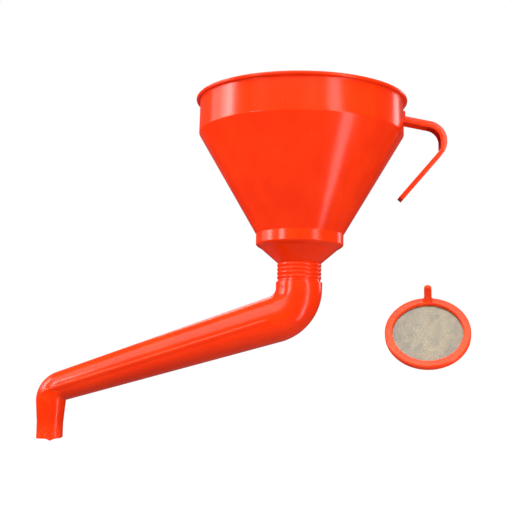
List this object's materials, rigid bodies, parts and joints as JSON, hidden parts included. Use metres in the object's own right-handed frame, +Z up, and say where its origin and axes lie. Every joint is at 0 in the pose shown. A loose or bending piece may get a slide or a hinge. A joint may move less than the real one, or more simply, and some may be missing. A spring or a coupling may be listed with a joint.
{
  "type": "funnel",
  "caption": "Filling funnel with a banded conical bowl, hook handle, ribbed neck, angled offset spout that the bowl turns in and pulls out of, and a gauze strainer laid beside it.",
  "frame": {"origin": "the middle of the spout's outlet, at the end face of the tip", "axes": "+Z up along the tip and the bowl's axis, +X from the tip towards the bowl and its handle, +Y away from the laid-out strainer"},
  "size_m": [0.3153, 0.16, 0.2578],
  "materials": {
    "orange_plastic": "glossy moulded polyethylene, orange-red",
    "handle_plastic": "glossy moulded polyethylene, orange-red",
    "seal_rubber": "plain nitrile rubber, black",
    "spout_plastic": "glossy moulded polyethylene, orange-red",
    "strainer_plastic": "glossy moulded polyethylene, orange-red",
    "gauze_wire": "fine woven brass wire gauze"
  },
  "bodies": {
    "spout": {"offset_spout": "spout_plastic"},
    "seal": {"seal_ring": "seal_rubber"},
    "bowl": {"bowl": "orange_plastic", "handle": "handle_plastic"},
    "strainer": {"strainer_frame": "strainer_plastic", "strainer_gauze": "gauze_wire"}
  },
  "joints": [
    {"name": "bowl_swivel", "type": "hinge", "parent": "spout", "child": "seal", "pos_m": [0.1813, 0, 0.1186], "axis": [0, 0, 1], "continuous": true},
    {"name": "bowl_lift", "type": "slide", "parent": "seal", "child": "bowl", "axis": [0, 0, 1], "range_m": [0, 0.06]},
    {"name": "strainer_lift", "type": "slide", "parent": "spout", "child": "strainer", "axis": [-0.1382, -0.8348, 0.5329], "range_m": [0, 0.06]}
  ]
}
